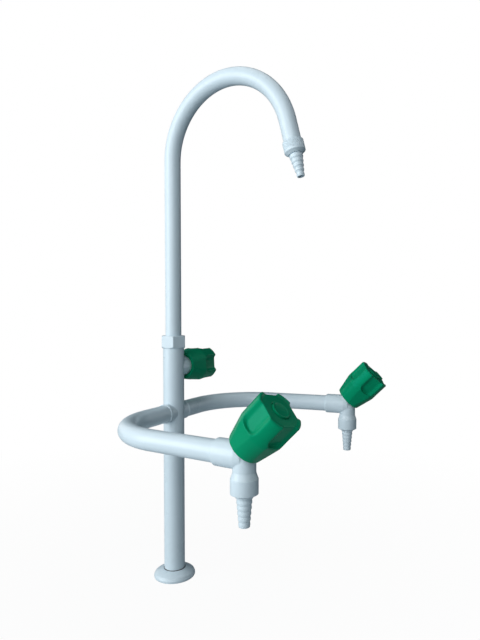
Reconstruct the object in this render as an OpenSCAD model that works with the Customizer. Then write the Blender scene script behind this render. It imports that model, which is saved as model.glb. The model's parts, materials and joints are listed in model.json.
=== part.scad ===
// Laboratory bench tap: a column with a swivelling gooseneck and two side outlets on bent arms.
// Millimetres. The origin is the centre of the foot on the bench top, +Z is up, the spout looks to -Y.

/* [Foot] */
// Diameter of the round foot flange
flange_d = 50; // [46:1:64]
// Height of the flange at its outer edge
flange_edge_h = 5; // [4.5:0.5:8]
// Height of the flange next to the column
flange_h = 11.5; // [9:0.5:16]
// Gap between the flange and the column
flange_gap = 0.5; // [0.3:0.1:1]
// Thickness of the rubber gasket under the flange
gasket_t = 1.5; // [1:0.1:2.5]
// Bore of the threaded inlet in the foot, half-inch pipe thread at its crests
inlet_d = 18.6; // [15:0.1:19.5]
// Length of the threaded inlet
inlet_len = 22; // [14:1:40]

/* [Column] */
// Outer diameter of the column tube
column_d = 25; // [24:0.5:30]
// Wall of the column tube
column_wall = 1.5; // [1:0.1:2]
// Height of the column tube above the bench
column_h = 284; // [280:1:340]

/* [Side arms] */
// Outer diameter of the arm tubes
arm_d = 21; // [18:0.5:22]
// Wall of the arm tubes
arm_wall = 1.5; // [1:0.1:2.5]
// Height of the arms above the bench
arm_z = 205.5; // [150:0.5:215]
// Distance from the column axis sideways to the side outlets
arm_half_span = 144.5; // [130:0.5:190]
// Radius of the bend in each arm
arm_bend_r = 79; // [50:1:90]
// Angle by which the arms spread apart towards their ends
arm_splay = 6.3; // [0:0.1:9]
// Distance from the column axis forward to the side outlets
outlet_reach = 177; // [160:0.5:230]
// How far the branch stubs stand out around the arm tubes
stub_step = 0.5; // [0.3:0.1:1]
// Length of the branch stubs in front of the column
stub_len = 6; // [4:0.5:16]
// How far the brazed bead stands out around the arm tubes
bead_step = 1.2; // [0.8:0.1:1.6]

/* [Gooseneck] */
// Outer diameter of the gooseneck tube
neck_d = 19; // [17:0.5:20]
// Wall of the gooseneck tube
neck_wall = 1.5; // [1:0.1:2]
// Height of the top of the gooseneck above the bench
neck_top = 599; // [520:1:700]
// Radius of the gooseneck bend
neck_bend_r = 82; // [60:1:100]
// Angle through which the gooseneck is bent
neck_sweep = 164.5; // [140:0.5:180]
// Straight tube after the bend
neck_tail = 26.5; // [20:0.5:50]
// Swivel of the gooseneck away from straight ahead
neck_turn = -7; // [-180:1:180]

/* [Swivel joint] */
// Height of the threaded neck of the socket above the column
socket_neck_h = 8; // [6:0.5:14]
// Wall of the hexagon nut at its flats
swivel_nut_wall = 2.1; // [1.6:0.1:4]
// Thickness of the lip that holds the gooseneck down
swivel_lip = 2.9; // [2:0.1:5]
// Thickness of the collar on the spigot
spigot_collar_h = 3; // [2:0.1:5]
// How far the spigot reaches up into the gooseneck tube
spigot_plug_len = 12; // [8:1:20]
// Section diameter of the swivel O-rings
neck_ring_d = 2; // [1.5:0.1:2.2]
// Turn of the hexagon nut
swivel_nut_turn = 34; // [0:1:60]

/* [Side valve body] */
// Wall of the socket around the arm tube
socket_wall = 2; // [1.5:0.1:2.5]
// Distance from the outlet axis back to the mouth of the socket
body_back = 29; // [26:1:40]
// Depth of the socket that holds the arm tube
arm_seat = 13; // [8:0.5:15]
// Diameter of the outlet stem
stem_d = 20.6; // [18.4:0.2:21]
// Length of the outlet stem below the arm axis
stem_drop = 17; // [16.5:0.5:30]
// Tilt of the head from the vertical, towards the front
head_tilt = 45; // [40:1:50]
// Offset of the head axis up and back from the elbow
head_offset = 4.7; // [4:0.1:6]

/* [Column valve] */
// Distance from the top of the column tube down to the column valve axis
valve_drop = 23; // [22:0.5:40]
// Height of the valve block inside the column
block_h = 24; // [23:0.5:25]

/* [Valve cartridge] */
// Diameter of the cartridge thread
cartridge_d = 16.6; // [16:0.1:17.4]
// Wall of the boss around the cartridge
boss_wall = 2.15; // [1.8:0.05:2.6]
// Height of the boss above the head origin
boss_h = 13; // [12:0.5:14]
// Width across the flats of the cartridge hexagon
hexagon_af = 19; // [18:0.5:21]
// Height of the cartridge hexagon
hexagon_h = 4; // [3:0.5:5]
// Height of the spindle guide above the hexagon
guide_h = 6; // [5.5:0.5:8]
// Thickness of each ceramic disc
disc_t = 2.5; // [2:0.1:2.8]
// Diameter of the ceramic discs
disc_d = 13.2; // [12.6:0.1:13.4]
// Diameter of the spindle
spindle_d = 8; // [7.5:0.1:8.5]
// Width across the flats of the square that drives the knob
square_af = 6; // [5.5:0.1:6.1]
// Length of the square
square_len = 11; // [8:0.5:13]
// Section diameter of the spindle O-ring
spindle_ring_d = 1.4; // [1.2:0.1:1.6]

/* [Knob] */
// Diameter of the knob at its skirt
skirt_d = 33.8; // [33:0.2:36]
// Largest diameter of the knob
knob_d = 44; // [42.5:0.5:50]
// Height of the whole knob
knob_h = 50; // [48:0.5:58]
// Height of the conical lower part
cone_h = 23.5; // [20:0.5:28]
// Wall of the skirt at its mouth
skirt_wall = 1.7; // [1.4:0.1:1.8]
// Wall left behind the flutes
flute_wall = 1.9; // [1.5:0.1:2.4]
// Number of flutes for the fingers
flute_count = 4; // [3:1:6]
// Width of a flute at the knob surface
flute_w = 22; // [12:0.5:23]
// Width of the flat floor of a flute
flute_floor_w = 14; // [8:0.5:15]
// Depth of a flute
flute_depth = 4.2; // [2:0.1:4.6]
// Start of the flutes below the top of the conical part
flute_start = 2.5; // [0:0.1:5]
// How far the flats under the flutes cut into the skirt edge
flat_skirt_cut = 0.3; // [0.1:0.1:0.4]
// How far the flats lie inside the largest diameter where the flutes start
flat_top_cut = 1.6; // [1:0.1:2.4]
// Corner radius at the lower end of a flute
flute_corner_r = 5; // [1.5:0.1:6]
// Depth of the dished top inside its rim
dish_depth = 0.8; // [0.3:0.1:1.2]
// Diameter of the index cap
cap_d = 17; // [14:0.5:20]
// How far the cap stands above the dished top
cap_proud = 1.6; // [0.8:0.1:2.5]
// Turn of the left knob when it is shut
left_turn = 75; // [0:1:90]
// Turn of the right knob when it is shut
right_turn = 29; // [0:1:90]
// Turn of the column knob when it is shut
centre_turn = -3; // [-45:1:45]

/* [Hose nozzles] */
// Diameter of the thread under the nozzle nuts
nipple_d = 16.6; // [15.6:0.1:17]
// Length of that thread
nipple_len = 14; // [8:0.5:15]
// Diameter of the nuts on the side outlets
outlet_nut_d = 24.6; // [23:0.2:30]
// Diameter of the knurled nut on the spout
spout_nut_d = 21.8; // [21.6:0.2:27]
// How far the spout nut covers the end of the gooseneck
spout_cover = 2.5; // [2:0.5:8]
// Length of the thread on the spout ferrule
spout_nipple_len = 4.5; // [4:0.5:10]
// Thickness of the rubber washer in a nozzle nut
washer_t = 1.5; // [1:0.1:2.5]
// Bore of the nozzles
nozzle_bore_d = 5; // [4:0.1:5.4]
// Diameter of the largest barb
barb_big_d = 13.8; // [12.6:0.1:14.2]
// Diameter of the smallest barb on the side outlets
barb_small_d = 10.4; // [9.2:0.1:12]
// Diameter of the smallest barb on the spout
spout_barb_small_d = 9.2; // [8.6:0.1:11]
// Number of barbs
barb_count = 5; // [3:1:7]
// Length of the barbed part on the side outlets
barb_len = 24.5; // [20:0.5:36]
// Length of the barbed part on the spout
spout_barb_len = 23.5; // [18:0.5:36]

/* [Clearances] */
// Radial gap of turned fits and brazed joints
fit_gap = 0.05; // [0.02:0.01:0.08]
// Gap between faces that slide past each other
run_gap = 0.3; // [0.2:0.05:0.4]

/* [Hidden] */
$fn = 96;
eps = 0.01;

// Colours of the finishes
white_coat = "#dce6ee";
green_plastic = "#00845a";
brass_metal = "#c9a24d";
black_rubber = "#26282a";
white_ceramic = "#f2efe6";
steel_metal = "#b9bdc1";
white_ptfe = "#f5f5f2";

// Radii of the tubes
column_r = column_d / 2;
column_ir = column_r - column_wall;
arm_r = arm_d / 2;
arm_ir = arm_r - arm_wall;
neck_r = neck_d / 2;
neck_ir = neck_r - neck_wall;
flange_r = flange_d / 2;

// Foot
flange_hole_r = column_r + flange_gap;
flange_round = 2;
gasket_margin = 2.5;
gasket_in_r = flange_hole_r + gasket_margin;
gasket_out_r = flange_r - gasket_margin;
dome_steps = 8;

// Column valve
column_valve_z = column_h - valve_drop;

// Swivel joint, heights above the top of the column tube
socket_len = valve_drop - block_h / 2 - 1;
swivel_thread_r = column_r - 1;
swivel_washer_t = 1;
spigot_r = neck_ir - 2 * fit_gap;
spigot_bore_r = spigot_r - neck_ring_d - 1.4;
spigot_end = 1 - socket_len;
collar_r = swivel_thread_r - 1;
collar_z = socket_neck_h + swivel_washer_t + fit_gap;
neck_seat_z = collar_z + spigot_collar_h;
swivel_nut_z = 0.4;
lip_z = neck_seat_z + run_gap;
swivel_nut_top = lip_z + swivel_lip;
swivel_nut_af = 2 * (swivel_thread_r + fit_gap + swivel_nut_wall);
swivel_nut_chamfer = 1.2;
neck_grooves = [for (i = [1, 2]) spigot_end + i * (collar_z - spigot_end) / 3];

// Gooseneck
neck_start = column_h + neck_seat_z + fit_gap;
neck_arc_z = neck_top - neck_r - neck_bend_r;
neck_end = [
    0,
    neck_bend_r * (cos(neck_sweep) - 1) - neck_tail * sin(neck_sweep),
    neck_arc_z + neck_bend_r * sin(neck_sweep) + neck_tail * cos(neck_sweep)
];

// How much thinner the straight ends of the bent tubes are than their bends
tail_step = 0.03;

// Side valve bodies
body_r = arm_r + fit_gap + socket_wall;
stem_r = stem_d / 2;
nose_len = 8;
nose_r = 5;
body_chamfer = 1;
arm_run_len = (outlet_reach - arm_bend_r + arm_bend_r * sin(arm_splay)) / cos(arm_splay);
arm_bend_x = arm_half_span - arm_bend_r * cos(arm_splay) - arm_run_len * sin(arm_splay);
arm_tail = arm_run_len - body_back + arm_seat;
stub_end = column_r + stub_len;

// Heads, heights along the head axis above the head origin
cartridge_r = cartridge_d / 2;
well_r = cartridge_r + fit_gap;
boss_r = well_r + boss_wall;
seat_z = -1;
seal_t = 2.5;
cartridge_z = seat_z + 1;
disc_r = disc_d / 2;
fixed_disc_z = seat_z + seal_t;
moving_disc_z = fixed_disc_z + disc_t + fit_gap;
spindle_z = moving_disc_z + disc_t;
foot_h = 2.2;
chamber_r = disc_r + fit_gap;
chamber_top = spindle_z + foot_h + fit_gap;
spindle_r = spindle_d / 2;
guide_r = spindle_r + fit_gap + 2.4;
guide_top = boss_h + hexagon_h + guide_h;
clip_t = 1;
clip_z = guide_top + run_gap;
clip_groove_r = spindle_r - 0.8;
clip_r = spindle_r + 2;
square_z = clip_z + clip_t + run_gap;
spindle_top = square_z + square_len;
spindle_ring_z = guide_top - 3;
seat_port_r = 3.2;
tongue_w = 2.4;
tongue_h = 1;

// Knob
skirt_z = 5.9;
skirt_r = skirt_d / 2;
knob_r = knob_d / 2;
knob_top = skirt_z + knob_h;
top_wall = 5;
flute_floor_r = knob_r - flute_depth;
cavity_r = flute_floor_r - flute_wall;
cavity_z = skirt_z + 8;
hub_z = square_z + 0.2;
hub_r = 7.5;
hub_web = 3;
hub_bore_top = spindle_top + run_gap;
screw_seat = hub_bore_top + hub_web;
screw_r = 2;
screw_head_r = 4;
screw_head_h = 3;
screw_len = hub_web + square_len;
screw_well_r = screw_head_r + 0.6;
rim_w = 2.4;
rim_round = 1;
dish_z = knob_top - dish_depth;
cap_r = cap_d / 2;
cap_seat = dish_z - 2;
cap_top = dish_z + cap_proud;
cap_plug_len = 3;

// Hose nozzles, distances along the flow from the shoulder of the thread
nipple_r = nipple_d / 2;
nut_bore_r = nipple_r + fit_gap;
nozzle_bore_r = nozzle_bore_d / 2;
nozzle_flange_r = nipple_r - 0.2;
nozzle_flange_h = 1.5;
nozzle_lip = 2.4;
nozzle_shank_r = barb_big_d / 2 - 0.15;
nozzle_hole_r = barb_big_d / 2 + 0.1;
barb_undercut = 0.5;
nut_flare_h = 6.5;
nut_nose_h = 4;
spout_nose_h = 2.4;
nut_nose_r = nozzle_hole_r + 1.4;
ferrule_plug_len = 12;
ferrule_lip = 1.5;
function flange_z(nipple) = nipple + washer_t + 2 * fit_gap;
function lip_start(nipple) = flange_z(nipple) + nozzle_flange_h + fit_gap;
function nut_end(nipple) = lip_start(nipple) + nozzle_lip;

// Where the repeated groups sit

module at_left_valve()
    translate([-arm_half_span, -outlet_reach, arm_z]) rotate([0, 0, -arm_splay]) children();

module at_right_valve()
    translate([arm_half_span, -outlet_reach, arm_z]) rotate([0, 0, arm_splay]) children();

// Head frame of a side valve: +Z runs out along the knob axis
module on_head() rotate([head_tilt, 0, 0]) translate([0, head_offset, 0]) children();

module at_left_head() at_left_valve() on_head() children();

module at_right_head() at_right_valve() on_head() children();

module at_centre_head() translate([column_r - 1, 0, column_valve_z]) rotate([0, 90, 0]) children();

// Outlet frame of a side valve: +Z runs down with the flow from the shoulder of the stem
module on_outlet() translate([0, 0, -stem_drop]) rotate([180, 0, 0]) children();

module at_left_outlet() at_left_valve() on_outlet() children();

module at_right_outlet() at_right_valve() on_outlet() children();

module at_swivel() translate([0, 0, column_h]) children();

module on_neck() rotate([0, 0, neck_turn]) children();

// Spout frame: +Z runs with the flow from the end of the gooseneck tube
module at_spout() on_neck() translate(neck_end) rotate([neck_sweep, 0, 0]) children();

module at_thread() at_spout() translate([0, 0, ferrule_lip]) children();

// Shapes that repeat

module ring(outer_r, inner_r, low, high)
    difference() {
        translate([0, 0, low]) cylinder(r = outer_r, h = high - low);
        translate([0, 0, low - 1]) cylinder(r = inner_r, h = high - low + 2);
    }

module bore(r, low, high) translate([0, 0, low]) cylinder(r = r, h = high - low);

module o_ring(outer_r, section_d, z)
    translate([0, 0, z]) rotate_extrude() translate([outer_r - section_d / 2, 0]) circle(d = section_d);

module groove(outer_r, section_d, z)
    ring(
        outer_r + 1, outer_r - section_d - fit_gap,
        z - section_d / 2 - fit_gap, z + section_d / 2 + fit_gap
    );

// Foot

module base_flange()
    color(white_coat) difference() {
        rotate_extrude() polygon(concat(
            [[flange_hole_r, 0], [flange_r - flange_round, 0], [flange_r, flange_round]],
            [[flange_r, flange_edge_h - flange_round]],
            [for (i = [0:dome_steps]) let (a = 90 * i / dome_steps)
                [flange_hole_r + (flange_r - flange_round / 2 - flange_hole_r) * cos(a),
                 flange_edge_h + (flange_h - flange_edge_h) * sin(a)]]
        ));
        ring(gasket_out_r, gasket_in_r, -1, gasket_t);
    }

module base_gasket()
    color(black_rubber) ring(gasket_out_r - fit_gap, gasket_in_r + fit_gap, 0, gasket_t);

module inlet_bush()
    color(brass_metal) ring(column_ir - fit_gap, inlet_d / 2, 0, inlet_len);

// Column

module column_tube()
    color(white_coat) difference() {
        cylinder(r = column_r, h = column_h);
        translate([0, 0, -1]) cylinder(r = column_ir, h = column_h + 2);
        translate([0, 0, arm_z]) rotate([0, 90, 0]) bore(arm_ir, -2 * column_d, 2 * column_d);
        at_centre_head() bore(boss_r + fit_gap, -column_r, column_r);
    }

module column_valve_block()
    color(white_coat) difference() {
        union() {
            translate([0, 0, column_valve_z - block_h / 2]) cylinder(r = column_ir - fit_gap, h = block_h);
            at_centre_head() bore(boss_r, 1 - column_r, boss_h);
        }
        at_centre_head() {
            bore(well_r, seat_z, boss_h + 1);
            bore(seat_port_r, -column_r, seat_z + 1);
            translate([-well_r + 2.2, 0, 0]) bore(2, 1 - column_r, seat_z + 1);
        }
        translate([0, 0, column_valve_z - block_h]) cylinder(r = seat_port_r, h = block_h);
        translate([0, 0, column_valve_z + well_r - 2.2]) cylinder(r = 2.6, h = block_h);
    }

// One bent arm, drawn on the left-hand side
module arm_run(r, tail_r, from_x, over) {
    translate([-arm_bend_x, 0, arm_z]) rotate([0, 90, 0]) cylinder(r = r, h = arm_bend_x - from_x);
    translate([-arm_bend_x, -arm_bend_r, arm_z]) {
        rotate([0, 0, 90]) rotate_extrude(angle = 90 - arm_splay) translate([arm_bend_r, 0]) circle(r = r);
        rotate([0, 0, -arm_splay]) translate([-arm_bend_r, 0, 0]) rotate([90, 0, 0])
            bore(tail_r, -1, arm_tail + over);
    }
}

module arm_tube()
    color(white_coat) difference() {
        arm_run(arm_r, arm_r - tail_step, stub_end, 0);
        arm_run(arm_ir, arm_ir + tail_step, stub_end - 1, 1);
    }

// Branch stub on the side of the column, with the brazed bead around the arm tube at its end
module arm_stub()
    color(white_coat) difference() {
        translate([0, 0, arm_z]) rotate([0, 90, 0]) rotate_extrude() polygon([
            [arm_ir, 1], [arm_r + stub_step, 1], [arm_r + stub_step, stub_end - 1.2],
            [arm_r + bead_step, stub_end - 0.4], [arm_r + bead_step, stub_end + 0.4],
            [arm_r + fit_gap + 0.1, stub_end + 1.4], [arm_r + fit_gap, stub_end + 1.4],
            [arm_r + fit_gap, stub_end - fit_gap], [arm_ir, stub_end - fit_gap]
        ]);
        translate([0, 0, arm_z - column_d]) cylinder(r = column_r + fit_gap, h = 2 * column_d);
    }

module left_arm_stub() mirror([1, 0, 0]) arm_stub();

module right_arm_stub() arm_stub();

module left_arm_tube() arm_tube();

module right_arm_tube() mirror([1, 0, 0]) arm_tube();

// Swivel joint on top of the column

module swivel_socket()
    color(brass_metal) at_swivel() difference() {
        union() {
            bore(column_ir - fit_gap, -socket_len, 0);
            bore(swivel_thread_r, 0, socket_neck_h);
        }
        bore(spigot_r + fit_gap, -socket_len - 1, socket_neck_h + 1);
    }

module swivel_washer()
    color(white_ptfe) at_swivel()
        ring(collar_r, spigot_r + fit_gap, socket_neck_h, socket_neck_h + swivel_washer_t);

module swivel_nut()
    color(white_coat) at_swivel() rotate([0, 0, swivel_nut_turn]) difference() {
        intersection() {
            translate([0, 0, swivel_nut_z])
                cylinder(d = swivel_nut_af / cos(30), h = swivel_nut_top - swivel_nut_z, $fn = 6);
            rotate_extrude() polygon([
                [0, swivel_nut_z], [swivel_nut_af / 2 - 0.2, swivel_nut_z],
                [swivel_nut_af / cos(30) / 2 + 0.2, swivel_nut_z + swivel_nut_chamfer],
                [swivel_nut_af / cos(30) / 2 + 0.2, swivel_nut_top - swivel_nut_chamfer],
                [swivel_nut_af / 2 - 0.2, swivel_nut_top], [0, swivel_nut_top]
            ]);
        }
        bore(swivel_thread_r + fit_gap, swivel_nut_z - 1, lip_z);
        bore(neck_r + run_gap, lip_z - 1, swivel_nut_top + 1);
    }

module swivel_spigot()
    color(brass_metal) at_swivel() difference() {
        union() {
            bore(spigot_r, spigot_end, collar_z);
            bore(collar_r, collar_z, neck_seat_z);
            bore(neck_ir - fit_gap, neck_seat_z, neck_seat_z + spigot_plug_len);
        }
        bore(spigot_bore_r, spigot_end - 1, neck_seat_z + spigot_plug_len + 1);
        for (z = neck_grooves) groove(spigot_r, neck_ring_d, z);
    }

module swivel_o_rings()
    color(black_rubber) at_swivel() for (z = neck_grooves) o_ring(spigot_r, neck_ring_d, z);

// Gooseneck

// The straight tail runs a little way into the bend, a hair inside its surface
module neck_run(r, tail_r, over) {
    translate([0, 0, neck_start - over]) cylinder(r = r, h = neck_arc_z - neck_start + over);
    translate([0, -neck_bend_r, neck_arc_z]) rotate([90, 0, 90])
        rotate_extrude(angle = neck_sweep) translate([neck_bend_r, 0]) circle(r = r);
    translate(neck_end) rotate([neck_sweep, 0, 0]) bore(tail_r, -neck_tail - 1, over);
}

module gooseneck_tube()
    color(white_coat) on_neck() difference() {
        neck_run(neck_r, neck_r - tail_step, 0);
        neck_run(neck_ir, neck_ir + tail_step, 1);
    }

module spout_ferrule()
    color(brass_metal) at_spout() difference() {
        union() {
            bore(neck_ir - fit_gap, -ferrule_plug_len, ferrule_lip);
            bore(neck_r - fit_gap, fit_gap, ferrule_lip);
            bore(nipple_r, ferrule_lip, ferrule_lip + spout_nipple_len);
        }
        bore(nozzle_bore_r + 1, -ferrule_plug_len - 1, ferrule_lip + spout_nipple_len + 1);
    }

// Nozzle parts, drawn from the shoulder of the thread along the flow

module nozzle_washer(nipple)
    color(black_rubber)
        ring(nozzle_flange_r, nozzle_bore_r + 1, nipple + fit_gap, nipple + fit_gap + washer_t);

module hose_nozzle(nipple, small_d, len)
    color(white_coat) {
        pitch = len / barb_count;
        shrink = (barb_big_d - small_d) / 2 / (barb_count - 1);
        low = flange_z(nipple);
        first = nut_end(nipple) + 1;
        rotate_extrude() polygon(concat(
            [[nozzle_bore_r, low], [nozzle_flange_r, low]],
            [[nozzle_flange_r, low + nozzle_flange_h], [nozzle_shank_r, low + nozzle_flange_h]],
            [for (i = [0:barb_count - 1], p = [0, 1])
                p == 0
                    ? [barb_big_d / 2 - i * shrink, first + i * pitch]
                    : [barb_big_d / 2 - i * shrink - barb_undercut - shrink / 2, first + (i + 1) * pitch]],
            [[nozzle_bore_r, first + len]]
        ));
    }

module nut_bores(nipple) {
    bore(nut_bore_r, -1, lip_start(nipple));
    bore(nozzle_hole_r, lip_start(nipple) - 1, nut_end(nipple) + 1);
}

module outlet_nut(nipple)
    color(white_coat) difference() {
        rotate_extrude() polygon([
            [0, fit_gap], [stem_r, fit_gap], [outlet_nut_d / 2, nut_flare_h],
            [outlet_nut_d / 2, nut_end(nipple) - nut_nose_h], [nut_nose_r, nut_end(nipple)],
            [0, nut_end(nipple)]
        ]);
        nut_bores(nipple);
    }

module spout_nut(nipple) {
    top = -spout_cover - ferrule_lip;
    color(white_coat) difference() {
        rotate_extrude() polygon([
            [0, top], [spout_nut_d / 2 - 0.6, top], [spout_nut_d / 2, top + 0.8],
            [spout_nut_d / 2, nut_end(nipple) - spout_nose_h], [nut_nose_r, nut_end(nipple)],
            [0, nut_end(nipple)]
        ]);
        bore(neck_r + run_gap, top - 1, fit_gap);
        nut_bores(nipple);
    }
}

// Side valve body

module valve_body()
    color(white_coat) difference() {
        union() {
            rotate([-90, 0, 0]) rotate_extrude() polygon([
                [0, body_back], [0, -nose_len], [nose_r, -nose_len], [body_r - 1.5, 2 - nose_len / 2],
                [body_r, nose_len / 2], [body_r, body_back - body_chamfer], [body_r - body_chamfer, body_back]
            ]);
            bore(stem_r, -stem_drop, 0);
            bore(nipple_r, -stem_drop - nipple_len, 0);
            on_head() bore(boss_r, -head_offset, boss_h);
        }
        rotate([-90, 0, 0]) bore(arm_r + fit_gap, body_back - arm_seat, body_back + 1);
        rotate([-90, 0, 0]) bore(seat_port_r + 1, 7, body_back);
        on_head() bore(well_r, seat_z, boss_h + 1);
        on_head() bore(seat_port_r, -8, seat_z + 1);
        bore(nozzle_bore_r + 1, -stem_drop - nipple_len - 1, -8);
        translate([0, -1.2, 0]) bore(2.2, -9, -0.5);
    }

// Valve cartridge, drawn along the head axis

module seat_seal()
    color(black_rubber) ring(disc_r, seat_port_r, seat_z, fixed_disc_z);

module disc_ports() for (a = [0, 180]) rotate([0, 0, a]) translate([disc_r / 2, 0, 0]) children();

module fixed_disc()
    color(white_ceramic) difference() {
        bore(disc_r, fixed_disc_z, fixed_disc_z + disc_t);
        disc_ports() bore(disc_r / 3.2, fixed_disc_z - 1, fixed_disc_z + disc_t + 1);
    }

module moving_disc()
    color(white_ceramic) difference() {
        bore(disc_r - fit_gap, moving_disc_z, moving_disc_z + disc_t);
        disc_ports() bore(disc_r / 3.2, moving_disc_z - 1, moving_disc_z + disc_t + 1);
        translate([-tongue_w / 2 - fit_gap, -disc_r, moving_disc_z + disc_t - tongue_h - fit_gap])
            cube([tongue_w + 2 * fit_gap, disc_d, tongue_h + 1]);
    }

module cartridge()
    color(brass_metal) difference() {
        union() {
            bore(cartridge_r, cartridge_z, boss_h);
            translate([0, 0, boss_h]) cylinder(d = hexagon_af / cos(30), h = hexagon_h, $fn = 6);
            bore(guide_r, boss_h, guide_top);
        }
        bore(chamber_r, cartridge_z - 1, chamber_top);
        bore(spindle_r + fit_gap, cartridge_z, guide_top + 1);
        for (a = [0, 180]) rotate([0, 0, a])
            translate([disc_r - 1, -2.5, moving_disc_z]) cube([4, 5, disc_t + 1]);
    }

module spindle()
    color(brass_metal) difference() {
        union() {
            bore(disc_r - 2 * fit_gap, spindle_z, spindle_z + foot_h);
            intersection() {
                bore(disc_r - 2 * fit_gap, spindle_z - tongue_h, spindle_z + 1);
                translate([-tongue_w / 2, -disc_r, spindle_z - tongue_h])
                    cube([tongue_w, disc_d, tongue_h + 1]);
            }
            bore(spindle_r, spindle_z, square_z);
            translate([-square_af / 2, -square_af / 2, square_z - 1])
                cube([square_af, square_af, square_len + 1]);
        }
        groove(spindle_r, spindle_ring_d, spindle_ring_z);
        ring(spindle_r + 1, clip_groove_r, clip_z - fit_gap, clip_z + clip_t + fit_gap);
        bore(screw_r + fit_gap, screw_seat - screw_len - 1, spindle_top + 1);
    }

module spindle_o_ring()
    color(black_rubber) o_ring(spindle_r, spindle_ring_d, spindle_ring_z);

module spindle_clip()
    color(steel_metal) difference() {
        ring(clip_r, clip_groove_r + fit_gap, clip_z, clip_z + clip_t);
        translate([0, -clip_groove_r * 0.8, clip_z - 1]) cube([clip_r + 1, clip_groove_r * 1.6, clip_t + 2]);
    }

// Knob, drawn along the head axis

module flute_cutter()
    intersection() {
        translate([0, 0, skirt_z]) linear_extrude(2 * knob_h) polygon([
            [flute_floor_r, -flute_floor_w / 2], [flute_floor_r, flute_floor_w / 2],
            [knob_r, flute_w / 2], [knob_r + 3, flute_w / 2 + 2],
            [knob_r + 3, -flute_w / 2 - 2], [knob_r, -flute_w / 2]
        ]);
        translate([0, 0, skirt_z + cone_h - flute_start]) rotate([90, 0, 90]) linear_extrude(2 * knob_r) {
            for (side = [-1, 1])
                translate([side * (flute_w / 2 - flute_corner_r), flute_corner_r]) circle(r = flute_corner_r);
            translate([-flute_w / 2, flute_corner_r]) square([flute_w, knob_h]);
            translate([flute_corner_r - flute_w / 2, 0]) square([flute_w - 2 * flute_corner_r, knob_h]);
        }
    }

// Cuts the flat under a flute, from the skirt edge up to the start of the flute
module flat_cutter() {
    lean = atan2(knob_r - flat_top_cut - skirt_r + flat_skirt_cut, cone_h - flute_start);
    translate([skirt_r - flat_skirt_cut, 0, skirt_z]) rotate([0, lean, 0])
        translate([0, -knob_r, -knob_r]) cube([knob_r, knob_d, 4 * knob_r]);
}

module knob()
    color(green_plastic) difference() {
        rotate_extrude() polygon([
            [skirt_r - skirt_wall, skirt_z], [skirt_r, skirt_z], [knob_r, skirt_z + cone_h],
            [knob_r, knob_top - rim_round], [knob_r - rim_round, knob_top], [knob_r - rim_w, knob_top],
            [knob_r - rim_w - dish_depth, dish_z], [cap_r + fit_gap, dish_z], [cap_r + fit_gap, cap_seat],
            [screw_well_r, cap_seat], [screw_well_r, screw_seat], [screw_r + 0.2, screw_seat],
            [screw_r + 0.2, hub_z], [hub_r, hub_z], [hub_r, knob_top - top_wall],
            [cavity_r, knob_top - top_wall], [cavity_r, cavity_z]
        ]);
        for (i = [0:flute_count - 1]) rotate([0, 0, 360 * i / flute_count]) {
            flute_cutter();
            flat_cutter();
        }
        translate([-square_af / 2 - fit_gap, -square_af / 2 - fit_gap, hub_z - 1])
            cube([square_af + 2 * fit_gap, square_af + 2 * fit_gap, hub_bore_top - hub_z + 1]);
    }

module knob_screw()
    color(steel_metal) {
        bore(screw_r, screw_seat - screw_len, screw_seat);
        bore(screw_head_r, screw_seat, screw_seat + screw_head_h);
    }

module index_cap()
    color(green_plastic) rotate_extrude() polygon([
        [0, cap_seat - cap_plug_len], [screw_well_r - fit_gap, cap_seat - cap_plug_len],
        [screw_well_r - fit_gap, cap_seat], [cap_r, cap_seat], [cap_r, cap_top - 0.8], [cap_r - 0.8, cap_top],
        [0, cap_top]
    ]);

// Assembly

base_flange();
base_gasket();
inlet_bush();
column_tube();
column_valve_block();
left_arm_stub();
right_arm_stub();
left_arm_tube();
right_arm_tube();
swivel_socket();
swivel_washer();
swivel_nut();

at_left_valve() valve_body();  // left_valve_body
at_left_head() cartridge();  // left_cartridge
at_left_head() seat_seal();  // left_seat_seal
at_left_head() fixed_disc();  // left_fixed_disc
at_left_outlet() nozzle_washer(nipple_len);  // left_nozzle_washer
at_left_outlet() outlet_nut(nipple_len);  // left_nozzle_nut
at_left_outlet() hose_nozzle(nipple_len, barb_small_d, barb_len);  // left_hose_nozzle

at_right_valve() valve_body();  // right_valve_body
at_right_head() cartridge();  // right_cartridge
at_right_head() seat_seal();  // right_seat_seal
at_right_head() fixed_disc();  // right_fixed_disc
at_right_outlet() nozzle_washer(nipple_len);  // right_nozzle_washer
at_right_outlet() outlet_nut(nipple_len);  // right_nozzle_nut
at_right_outlet() hose_nozzle(nipple_len, barb_small_d, barb_len);  // right_hose_nozzle

at_centre_head() cartridge();  // centre_cartridge
at_centre_head() seat_seal();  // centre_seat_seal
at_centre_head() fixed_disc();  // centre_fixed_disc

gooseneck_tube();
swivel_spigot();
swivel_o_rings();
spout_ferrule();
at_thread() nozzle_washer(spout_nipple_len);  // spout_washer
at_thread() spout_nut(spout_nipple_len);
at_thread() hose_nozzle(spout_nipple_len, spout_barb_small_d, spout_barb_len);  // spout_nozzle

at_left_head() rotate([0, 0, left_turn]) spindle();  // left_spindle
at_left_head() rotate([0, 0, left_turn]) moving_disc();  // left_moving_disc
at_left_head() spindle_o_ring();  // left_spindle_o_ring
at_left_head() rotate([0, 0, left_turn]) spindle_clip();  // left_spindle_clip
at_left_head() rotate([0, 0, left_turn]) knob();  // left_knob
at_left_head() knob_screw();  // left_knob_screw
at_left_head() index_cap();  // left_index_cap

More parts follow.
